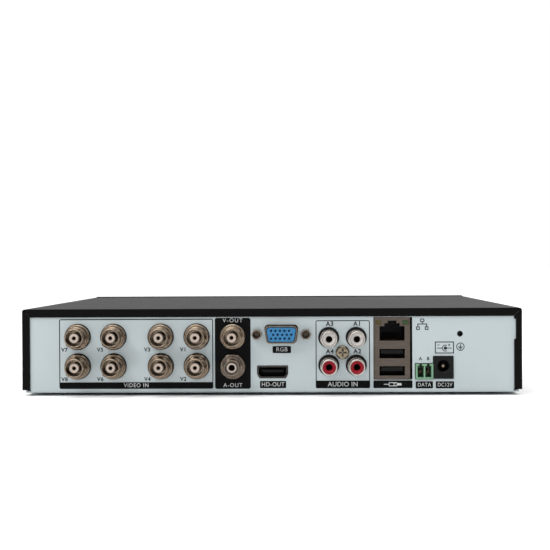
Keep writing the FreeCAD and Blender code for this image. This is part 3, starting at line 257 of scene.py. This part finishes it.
def make_finishes():
    """One finish for each material slot, darker and lighter copies of some metals that paint shade and
    highlight, and the inks.
    """
    ink = dict(grain=(0.3, 0.003), edge=0)
    return {
        "panel_grey": finish("panel_grey", (0.40, 0.455, 0.47), 0.34, metallic=0.2, grain=(0.5, 0.006),
                             tone=(40.0, 0.025)),
        "powder_black": finish("powder_black", (0.0016, 0.0013, 0.0012), 0.37, specular=0.072,
                               grain=(0.4, 0.022), tone=(50.0, 0.06), rough_spread=0.015, edge=0.4),
        "bezel_black": finish("bezel_black", (0.002, 0.002, 0.0022), 0.34, specular=0.12, grain=(0.5, 0.06),
                              tone=(20.0, 0.12), rough_spread=0.04, edge=0.4),
        "key_black": finish("key_black", (0.003, 0.003, 0.0033), 0.33, specular=0.16, grain=(0.4, 0.015),
                            tone=(6.0, 0.15), rough_spread=0.04, edge=0.25),
        "screw_black": finish("screw_black", (0.03, 0.03, 0.03), 0.4, metallic=0.8, grain=(0.2, 0.006)),
        "screw_zinc": finish("screw_zinc", (0.65, 0.65, 0.62), 0.35, metallic=1.0, grain=(0.2, 0.006)),
        "screw_brass": finish("screw_brass", (0.2, 0.17, 0.12), 0.2, metallic=1.0, grain=(0.4, 0.035),
                              tone=(1.2, 0.5), edge=0.15, painted_crevice_shade=(1.6, 0.02)),
        "rubber_black": finish("rubber_black", (0.015, 0.015, 0.015), 0.85, specular=0.2, grain=(0.4, 0.03)),
        "nickel": finish("nickel", (0.205, 0.16, 0.118), 0.2, metallic=1.0, grain=(0.3, 0.006),
                         tone=(2.5, 0.18), rough_spread=0.08, edge=0.2, painted_crevice_shade=(1.6, 0.45)),
        # Painted shade: a darker copy of the nickel, with near-black painted shade in its crevices.
        "nickel_painted_shade": finish("nickel_painted_shade", (0.155, 0.125, 0.1), 0.2, metallic=1.0, tone=(2.5, 0.25),
                              edge=0.2, painted_crevice_shade=(2.6, 0.02)),
        # Painted highlight: a lighter copy of the nickel for the phono barrels, standing in for the bright
        # reflection on them.
        "nickel_painted_highlight": finish("nickel_painted_highlight", (0.42, 0.39, 0.36), 0.22, metallic=1.0, tone=(2.5, 0.12),
                                edge=0.15),
        # Painted shade: a near-black tin for the digital video socket's shell, shade painted into its colour.
        "tin_painted_shade": finish("tin_painted_shade", (0.07, 0.063, 0.058), 0.32, metallic=1.0, tone=(3.0, 0.2), edge=0.15),
        "shell_steel": finish("shell_steel", (0.105, 0.087, 0.073), 0.4, metallic=1.0, grain=(0.3, 0.006),
                              tone=(6.0, 0.12), stretch=(1, 1, 6)),
        "insulator_ivory": finish("insulator_ivory", (0.38, 0.315, 0.265), 0.4, tone=(2.0, 0.08),
                                  painted_crevice_shade=(2.5, 0.4)),
        "contact_brass": finish("contact_brass", (0.11, 0.065, 0.035), 0.4, metallic=1.0, painted_crevice_shade=(3.0, 0.1)),
        "plastic_black": finish("plastic_black", (0.006, 0.006, 0.0065), 0.45, specular=0.12,
                                grain=(0.35, 0.015)),
        "plastic_white": finish("plastic_white", (0.5, 0.47, 0.445), 0.3, tone=(2.0, 0.06), painted_crevice_shade=(3.0, 0.2)),
        "plastic_red": finish("plastic_red", (0.27, 0.006, 0.016), 0.3, specular=0.22, tone=(2.0, 0.12),
                              painted_crevice_shade=(3.0, 0.2)),
        "plastic_blue": finish("plastic_blue", (0.008, 0.13, 0.295), 0.4, tone=(3.0, 0.08),
                               grain=(0.3, 0.006)),
        "plastic_green": finish("plastic_green", (0.13, 0.265, 0.16), 0.42, tone=(3.0, 0.08),
                                painted_crevice_shade=(2.0, 0.15)),
        "board_green": finish("board_green", (0.015, 0.14, 0.06), 0.35, tone=(5.0, 0.25)),
        "chip_black": finish("chip_black", (0.02, 0.02, 0.021), 0.55, grain=(0.2, 0.01)),
        "capacitor_sleeve": finish("capacitor_sleeve", (0.02, 0.03, 0.09), 0.3),
        "aluminium": finish("aluminium", (0.68, 0.68, 0.7), 0.4, metallic=1.0, grain=(0.3, 0.01),
                            stretch=(1, 8, 1)),
        "cast_aluminium": finish("cast_aluminium", (0.5, 0.5, 0.51), 0.6, metallic=1.0, grain=(0.6, 0.04)),
        "drive_steel": finish("drive_steel", (0.55, 0.55, 0.57), 0.3, metallic=1.0, stretch=(8, 1, 1)),
        "platter_mirror": finish("platter_mirror", (0.8, 0.8, 0.82), 0.05, metallic=1.0, grain=(0.5, 0.0002),
                                 rough_spread=0.02),
        "lens_clear": finish("lens_clear", (0.6, 0.62, 0.6), 0.15),
        "lens_dark": finish("lens_dark", (0.012, 0.006, 0.012), 0.12, coat=0.5),
        "led_lens": lamp_lenses(),
        "cable_grey": finish("cable_grey", (0.3, 0.3, 0.31), 0.5, stretch=(30, 1, 30)),
        "cable_red": finish("cable_red", (0.4, 0.02, 0.015), 0.45),
        "ink_dark": finish("ink_dark", (0.016, 0.018, 0.02), 0.5, specular=0.2, **ink),
        "ink_black": finish("ink_black", (0.0022, 0.0022, 0.0024), 0.42, specular=0.06, **ink),
        "ink_white": finish("ink_white", (0.45, 0.46, 0.46), 0.5, **ink),
        "ink_grey": finish("ink_grey", (0.035, 0.04, 0.045), 0.5, specular=0.2, **ink),
        "ink_silver": finish("ink_silver", (0.3, 0.3, 0.3), 0.5, **ink),
    }


def dress_nodes(finishes):
    """Every node gets its slot's finish, except a few metal nodes that get a darker or lighter metal instead:
    painted shade on the darker ones, painted highlight on the lighter ones.
    """
    shade_and_highlight_copies = {"hdmi_shell": "tin_painted_shade", "vga_jackscrews": "nickel_painted_shade", "vga_shell": "nickel_painted_shade",
              "audio_out_barrel": "nickel_painted_shade", "rca_barrels": "nickel_painted_highlight"}
    for part in RECORD["subparts"]:
        chosen = shade_and_highlight_copies.get(part["node"], part["material_slot"])
        for slot in NODES[part["node"]].material_slots:
            slot.material = finishes[chosen]


# ---------------------------------------------------------------- printing

INK = 0.03               # thickness of one printed layer, mm
CAP_SHARE = 0.70         # a capital's height as a share of the font size
LABEL_BAR_LOW = 2.1      # lower edge of the video inputs' frame, above the casing's underside
FRAME_TOP = 37.9         # its upper edge
FRAME_CORNER = 1.0       # outer corner radius of the printed frames
LINE = 0.5               # width of the printed frames' lines
BAR_CORNER = 0.7         # corner radius of the long printed bars
LABEL_Z = 3.8            # middle of the small word boxes
RAISED_LABEL_Z = 4.15    # the same under the data and the digital sockets
THIN_LINE = 0.42         # width of the lines in the polarity and earth symbols
REAR = Matrix(((-1, 0, 0), (0, 0, 1), (0, 1, 0))).to_4x4()     # u, v, w to -X, +Z, +Y
FACE = Matrix(((1, 0, 0), (0, 0, -1), (0, 1, 0))).to_4x4()     # u, v, w to +X, +Z, -Y


def rear_at(x, z, layer=0):
    """Place on the rear panel: x and height above the casing's underside, in mm."""
    return Matrix.Translation((x, PANEL_Y + layer * INK, BASE_Z + z)) @ REAR


def front_at(x, z, depth):
    """Place on the bezel's front, depth mm behind its foremost face."""
    return Matrix.Translation((x, FRONT_Y + depth, BASE_Z + z)) @ FACE


def rounded(centre, size, radius, steps=6):
    """Closed loop round a rectangle with round corners."""
    loop = []
    for sign_u, sign_v, start in ((1, 1, 0), (-1, 1, 90), (-1, -1, 180), (1, -1, 270)):
        corner_u = centre[0] + sign_u * (size[0] / 2 - radius)
        corner_v = centre[1] + sign_v * (size[1] / 2 - radius)
        for i in range(steps + 1):
            angle = math.radians(start + 90 * i / steps)
            loop.append((corner_u + radius * math.cos(angle), corner_v + radius * math.sin(angle)))
    return loop


def circle(centre, radius, steps=40):
    """Closed loop round a disc."""
    return [(centre[0] + radius * math.cos(2 * math.pi * i / steps),
             centre[1] + radius * math.sin(2 * math.pi * i / steps)) for i in range(steps)]


def ring(centre, radius, width):
    """Outer and inner loop of a ring."""
    return [circle(centre, radius), circle(centre, radius - width)]


def arc_band(centre, radius, width, start, end, steps=24):
    """Loop round part of a ring, from start to end in degrees."""
    angles = [math.radians(start + (end - start) * i / steps) for i in range(steps + 1)]
    points = [(centre[0] + r * math.cos(a), centre[1] + r * math.sin(a))
              for r, way in ((radius, angles), (radius - width, angles[::-1])) for a in way]
    return [points]


def bar(start, end, width):
    """Loop round a straight line of some width."""
    along = Vector((end[0] - start[0], end[1] - start[1])).normalized()
    side = Vector((-along.y, along.x)) * width / 2
    a, b = Vector(start), Vector(end)
    return [tuple(a + side), tuple(a - side), tuple(b - side), tuple(b + side)]


def frame_loops(centre, size, radius, width):
    """Outer and inner loop of a rectangular line of some width."""
    inner = (size[0] - 2 * width, size[1] - 2 * width)
    return [rounded(centre, size, radius), rounded(centre, inner, max(radius - width, 0.05))]


def add_piece(name, mesh, material, body=CASE):
    """New piece that rides on a body, with the given material."""
    piece = bpy.data.objects.new(name, mesh)
    bpy.context.scene.collection.objects.link(piece)
    mesh.materials.clear()
    mesh.materials.append(material)
    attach(piece, body)


def curve_mesh(curve, place):
    """Closed mesh of an extruded curve with its back on the place's own plane; mm in, metres out."""
    holder = bpy.data.objects.new("holder", curve)
    bpy.context.scene.collection.objects.link(holder)
    bpy.context.view_layer.update()
    mesh = bpy.data.meshes.new_from_object(holder.evaluated_get(bpy.context.evaluated_depsgraph_get()))
    bpy.data.objects.remove(holder)
    bpy.data.curves.remove(curve)
    sheet = bmesh.new()
    sheet.from_mesh(mesh)
    bmesh.ops.remove_doubles(sheet, verts=sheet.verts, dist=1e-4)
    sheet.transform(Matrix.Scale(MM, 4) @ place @ Matrix.Translation((0, 0, INK / 2)))
    bmesh.ops.recalc_face_normals(sheet, faces=sheet.faces)
    sheet.to_mesh(mesh)
    sheet.free()
    return mesh


def shape_mesh(loops, place):
    """One layer of ink inside the outer loops and outside the inner ones."""
    curve = bpy.data.curves.new("shape", "CURVE")
    curve.dimensions = "2D"
    curve.fill_mode = "BOTH"
    curve.extrude = INK / 2
    for loop in loops:
        spline = curve.splines.new("POLY")
        spline.points.add(len(loop) - 1)
        for point, (u, v) in zip(spline.points, loop):
            point.co = (u, v, 0, 1)
        spline.use_cyclic_u = True
    return curve_mesh(curve, place)


def word_mesh(text, cap_height, place, weight, spacing, squeeze):
    """One layer of ink in the shape of a word, centred on its place."""
    curve = bpy.data.curves.new("word", "FONT")
    curve.body = text
    curve.size = cap_height / CAP_SHARE
    curve.align_x = "CENTER"
    curve.align_y = "CENTER"
    curve.space_character = spacing
    curve.offset = weight
    curve.resolution_u = 4
    curve.extrude = INK / 2
    return curve_mesh(curve, place @ Matrix.Diagonal((squeeze, 1, 1, 1)))


def join_meshes(name, meshes):
    """One mesh of several, which are then removed."""
    joined = bmesh.new()
    for mesh in meshes:
        joined.from_mesh(mesh)
        bpy.data.meshes.remove(mesh)
    result = bpy.data.meshes.new(name)
    joined.to_mesh(result)
    joined.free()
    return result


def print_shapes(name, loops, place, material):
    """Shapes on the rear panel, all filled together, so that a loop inside another is a hole."""
    add_piece(name, shape_mesh(loops, place), material)


def print_groups(name, groups, place, material):
    """Shapes that touch or cross, each group of loops filled on its own."""
    mesh = join_meshes(name, [shape_mesh(loops, place) for loops in groups])
    add_piece(name, mesh, material)


def print_words(name, words, material):
    """words is a list of (text, cap height, place, weight, spacing, squeeze)."""
    add_piece(name, join_meshes(name, [word_mesh(*word) for word in words]), material)


def video_print(ink):
    """Frame, bar and jack numbers round the eight video inputs."""
    past_left = 9.6
    past_right = 8.5
    left = MOUNTS["video_in_7"].x + past_left
    right = MOUNTS["video_in_1"].x - past_right
    centre = (left + right) / 2
    size = (left - right, FRAME_TOP - LABEL_BAR_LOW)
    print_shapes("video_frame", frame_loops((0, 0), size, FRAME_CORNER, LINE),
                 rear_at(centre, (LABEL_BAR_LOW + FRAME_TOP) / 2), ink["ink_dark"])
    bar_height = 3.3
    bar_inset = 0.25
    bar_lift = 0.1
    bar_z = LABEL_BAR_LOW + bar_height / 2 + bar_lift
    print_shapes("video_bar", [rounded((0, 0), (size[0] - 2 * bar_inset, bar_height), BAR_CORNER)],
                 rear_at(centre, bar_z), ink["ink_black"])
    print_words("video_word", [("VIDEO IN", 2.0, rear_at(centre, bar_z, 1), 0.02, 1.14, 0.95)],
                ink["ink_white"])
    number_aside = 6.9
    number_drop = 6.6
    numbers = []
    for i in range(1, 9):
        jack = MOUNTS["video_in_%d" % i]
        place = rear_at(jack.x + number_aside, jack.z - BASE_Z - number_drop)
        numbers.append(("V%d" % i, 1.9, place, 0.1, 1.15, 1.0))
    print_words("video_numbers", numbers, ink["ink_dark"])


def output_print(ink):
    """Black block behind the video and audio outputs, with a word at each end."""
    jack = MOUNTS["video_out"]
    low = 2.0
    high = 38.3
    width = 18.3
    corner = 1.1
    upper_word_z = 36.9
    print_shapes("output_block", [rounded((0, 0), (width, high - low), corner)],
                 rear_at(jack.x, (low + high) / 2), ink["ink_black"])
    print_words("output_words", [("V-OUT", 2.0, rear_at(jack.x, upper_word_z, 1), 0.0, 1.25, 1.0),
                                 ("A-OUT", 2.0, rear_at(jack.x, LABEL_Z, 1), 0.0, 1.15, 1.0)],
                ink["ink_white"])


def boxed_word(name, text, x, z, size, cap_height, ink, squeeze=1.0):
    """White word on a small black box."""
    corner = 0.4
    print_shapes(name + "_box", [rounded((0, 0), size, corner)], rear_at(x, z), ink["ink_black"])
    print_words(name + "_word", [(text, cap_height, rear_at(x, z, 1), 0.0, 1.08, squeeze)], ink["ink_white"])


def audio_print(ink):
    """Frame, bar and jack numbers round the four audio inputs."""
    past_left = 6.7
    past_right = 7.0
    left = MOUNTS["audio_in_3"].x + past_left
    right = MOUNTS["audio_in_1"].x - past_right
    centre = (left + right) / 2
    top = 36.9
    low = 2.2
    print_shapes("audio_frame", frame_loops((0, 0), (left - right, top - low), FRAME_CORNER, LINE),
                 rear_at(centre, (top + low) / 2), ink["ink_grey"])
    bar_height = 3.9
    bar_inset = 0.05
    bar_z = low + bar_height / 2
    print_shapes("audio_bar", [rounded((0, 0), (left - right - 2 * bar_inset, bar_height), BAR_CORNER)],
                 rear_at(centre, bar_z), ink["ink_black"])
    print_words("audio_word", [("AUDIO IN", 2.3, rear_at(centre, bar_z, 1), 0.03, 1.05, 1.0)],
                ink["ink_white"])
    number_aside = -0.55
    number_lift = 7.4
    numbers = []
    for i in range(1, 5):
        jack = MOUNTS["audio_in_%d" % i]
        place = rear_at(jack.x + number_aside, jack.z - BASE_Z + number_lift)
        numbers.append(("A%d" % i, 2.2, place, 0.1, 1.15, 1.0))
    print_words("audio_numbers", numbers, ink["ink_dark"])


def network_symbol(ink):
    """Three linked nodes beside the network socket: one above, two below."""
    width = 0.48
    groups = [frame_loops((0, 1.85), (2.2, 1.9), 0.7, width),
              [bar((0, 0.2), (0, 0.9), width)],
              [bar((-2.6, 0), (2.6, 0), width)]]
    lower_node = 2.2
    for u in (-lower_node, lower_node):
        groups.append(frame_loops((u, -2.1), (1.9, 1.8), 0.25, width))
        groups.append([bar((u, -0.2), (u, -1.2), width)])
    aside = 15.4
    height = 34.8
    print_groups("network_symbol", groups, rear_at(MOUNTS["network_socket"].x - aside, height),
                 ink["ink_dark"])


def data_symbol(ink):
    """Plain outline of a flat plug with its cord, on a black bar under the two data sockets."""
    aside = 0.4
    x = MOUNTS["usb_lower"].x - aside
    bar_size = (19.9, 3.9)
    bar_corner = 0.6
    print_shapes("data_bar", [rounded((0, 0), bar_size, bar_corner)], rear_at(x, RAISED_LABEL_Z),
                 ink["ink_black"])
    width = 0.35
    groups = [frame_loops((0.1, 0), (4.4, 2.0), 0.3, width), [rounded((3.35, 0), (2.0, 1.2), 0.2)],
              [bar((-4.6, 0), (-2.1, 0), width)]]
    groups += [[rounded((0.7, v), (0.9, width), 0.05, 2)] for v in (-0.4, 0.4)]
    print_groups("data_symbol", groups, rear_at(x, RAISED_LABEL_Z, 1), ink["ink_white"])


def terminal_print(ink):
    """A letter over each pole of the serial terminal, and its word box."""
    x = MOUNTS["serial_terminal"].x
    half_pitch = 1.95
    letter_z = 17.1
    letters = [(letter, 1.6, rear_at(x + aside, letter_z), 0.09, 1.0, 1.0)
               for letter, aside in (("A", half_pitch), ("B", -half_pitch))]
    print_words("terminal_letters", letters, ink["ink_grey"])
    boxed_word("terminal", "DATA", x, LABEL_Z, (8.8, 3.6), 1.9, ink, 0.9)


def power_print(ink):
    """Word box and polarity symbol of the power inlet, and the earth symbol beside it."""
    x = MOUNTS["power_inlet"].x
    boxed_word("power", "DC12V", x - 0.8, LABEL_Z, (9.3, 3.6), 1.9, ink, 0.86)
    pin = (0.5, -0.3)        # middle of the polarity symbol's ring
    groups = [frame_loops((0, 0), (9.7, 6.1), 0.15, LINE), [circle(pin, 0.85)],
              arc_band(pin, 1.75, THIN_LINE, 60, 300)]
    groups += [[bar((u - 0.5, 1.3), (u + 0.5, 1.3), THIN_LINE)] for u in (-3.0, 2.4)]
    groups += [[bar((2.4, v), (2.4, v + 0.32), THIN_LINE)] for v in (0.8, 1.48)]
    groups += [[bar((start, pin[1]), (end, pin[1]), THIN_LINE)]
               for start, end in ((-3.7, -1.25), (1.35, 3.7))]
    polarity_z = 22.8
    print_groups("polarity_symbol", groups, rear_at(x - 0.6, polarity_z), ink["ink_dark"])
    groups = [ring((0, 0), 2.1, THIN_LINE), [bar((0, 1.3), (0, 0.02), THIN_LINE)]]
    groups += [[bar((-half, v), (half, v), THIN_LINE)]
               for half, v in ((1.15, -0.16), (0.75, -0.68), (0.35, -1.2))]
    earth_z = 23.2
    print_groups("earth_symbol", groups, rear_at(MOUNTS["ground_screw"].x - 0.2, earth_z), ink["ink_dark"])


def monitor_print(ink):
    """Word boxes under the monitor socket and the digital video socket."""
    aside = 0.2
    monitor_z = 22.0
    boxed_word("monitor", "RGB", MOUNTS["monitor_socket"].x - aside, monitor_z, (9.4, 3.6), 2.1, ink)
    boxed_word("digital", "HD-OUT", MOUNTS["digital_video_socket"].x - aside, RAISED_LABEL_Z, (13.4, 3.7),
               2.1, ink, 0.95)


def front_print(ink):
    """Words beside the lights and the two round keys."""
    pad = CENTRES["ok_key"].z - BASE_Z
    low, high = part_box("status_leds")
    half_lamp = 1.9
    first = low.x / MM + half_lamp
    last = high.x / MM - half_lamp
    cap_height = 2.4
    above = pad + 4.1
    below = pad - 4.9
    lift = -INK
    words = []
    for text, x in (("Power", first), ("Alarm", (first + last) / 2), ("Rec", last)):
        words.append((text, cap_height, front_at(x, above, lift), 0.0, 1.0, 0.9))
    for text, key, z in (("MENU", "menu_key", above), ("ESC", "esc_key", below)):
        words.append((text, cap_height, front_at(CENTRES[key].x, z, lift), 0.01, 1.05, 0.95))
    print_words("front_words", words, ink["ink_silver"])


# ---------------------------------------------------------------- fittings inside the openings

def lathe_mesh(name, profile, place, steps=48):
    """Closed surface turned from (radius, height) points, in mm, about the place's own w axis."""
    turned = bmesh.new()
    points = [turned.verts.new((radius, 0, height)) for radius, height in profile]
    edges = [turned.edges.new(pair) for pair in zip(points, points[1:])]
    bmesh.ops.spin(turned, geom=points + edges, axis=(0, 0, 1), cent=(0, 0, 0), angle=2 * math.pi,
                   steps=steps, use_duplicate=False)
    bmesh.ops.remove_doubles(turned, verts=turned.verts, dist=1e-5)
    turned.transform(Matrix.Scale(MM, 4) @ place)
    bmesh.ops.recalc_face_normals(turned, faces=turned.faces)
    mesh = bpy.data.meshes.new(name)
    turned.to_mesh(mesh)
    turned.free()
    mesh.shade_smooth()
    mesh.set_sharp_from_angle(angle=math.radians(35))
    return mesh


def wire_mesh(points, radius):
    """Closed round wire along a smooth path; points in mm in the row's frame."""
    curve = bpy.data.curves.new("wire", "CURVE")
    curve.dimensions = "3D"
    curve.bevel_depth = radius
    curve.bevel_resolution = 2
    curve.use_fill_caps = True
    spline = curve.splines.new("NURBS")
    spline.points.add(len(points) - 1)
    for point, place in zip(spline.points, points):
        point.co = (*place, 1)
    spline.order_u = 3
    spline.use_endpoint_u = True
    return curve_mesh(curve, Matrix.Translation((0, 0, -INK / 2)))


def network_contacts(finishes):
    """Eight sprung wires on the floor of the network socket."""
    socket = MOUNTS["network_socket"]
    pitch = 1.02
    radius = 0.2
    floor_drop = 3.6
    path = ((1.6, 0.1), (3.0, 0.5), (8.0, 2.4), (12.5, 3.1))      # (depth, height over the socket's floor)
    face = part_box("network_insert")[1].y / MM
    floor = socket.z - floor_drop
    wires = []
    for i in range(8):
        x = socket.x + (i - 3.5) * pitch
        wires.append(wire_mesh([(x, face - depth, floor + height) for depth, height in path], radius))
    add_piece("network_contacts", join_meshes("network_contacts", wires), finishes["contact_brass"])


def ground_nut(finishes):
    """Blind nut pressed in behind the earth screw's hole."""
    screw = MOUNTS["ground_screw"]
    bore = 1.55
    outside = 3.2
    depth = 6.0
    end_wall = 0.8
    behind = 0.82            # just more than the panel's sheet
    place = Matrix.Translation((screw.x, PANEL_Y - behind, screw.z)) @ REAR
    profile = [(0, -depth + end_wall), (bore, -depth + end_wall), (bore, 0), (outside, 0),
               (outside, -depth), (0, -depth)]
    add_piece("ground_nut", lathe_mesh("ground_nut", profile, place), finishes["screw_black"])


def sleeve_mesh(name, size, wall, depth, place):
    """Closed rectangular sleeve, size inside it and depth along the place's own w axis, in mm."""
    corner = 0.3
    inner = rounded((0, 0), size, corner, 3)
    outer = rounded((0, 0), (size[0] + 2 * wall, size[1] + 2 * wall), corner + wall, 3)
    sleeve = bmesh.new()
    rings = [[sleeve.verts.new((u, v, height)) for u, v in loop]
             for loop, height in ((inner, 0), (outer, 0), (outer, depth), (inner, depth))]
    for near, far in zip(rings, rings[1:] + rings[:1]):
        for i in range(len(near)):
            j = (i + 1) % len(near)
            sleeve.faces.new((near[i], near[j], far[j], far[i]))
    sleeve.transform(Matrix.Scale(MM, 4) @ place)
    bmesh.ops.recalc_face_normals(sleeve, faces=sleeve.faces)
    mesh = bpy.data.meshes.new(name)
    sleeve.to_mesh(mesh)
    sleeve.free()
    mesh.shade_smooth()
    mesh.set_sharp_from_angle(angle=math.radians(40))
    return mesh


def usb_sleeves(finishes):
    """Metal sleeve round each USB tongue, from its moulded back to the shell's front wall."""
    opening = (13.0, 4.9)
    wall = 0.3
    back_depth = 4.6
    face_wall = 0.42
    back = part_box("usb_tongues")[0].y / MM + back_depth
    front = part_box("network_usb_shell")[1].y / MM - face_wall
    sleeves = []
    for name in ("usb_upper", "usb_lower"):
        socket = MOUNTS[name]
        place = Matrix.Translation((socket.x, back, socket.z)) @ REAR
        sleeves.append(sleeve_mesh(name, opening, wall, front - back, place))
    add_piece("usb_sleeves", join_meshes("usb_sleeves", sleeves), finishes["shell_steel"])


# ---------------------------------------------------------------- build

def main():
    """Stage, finishes, printing and fittings."""
    make_camera()
    make_floor()
    make_studio()
    finishes = make_finishes()
    dress_nodes(finishes)
    for printing in (video_print, output_print, monitor_print, audio_print, network_symbol, data_symbol,
                     terminal_print, power_print, front_print):
        printing(finishes)
    network_contacts(finishes)
    usb_sleeves(finishes)
    ground_nut(finishes)


main()
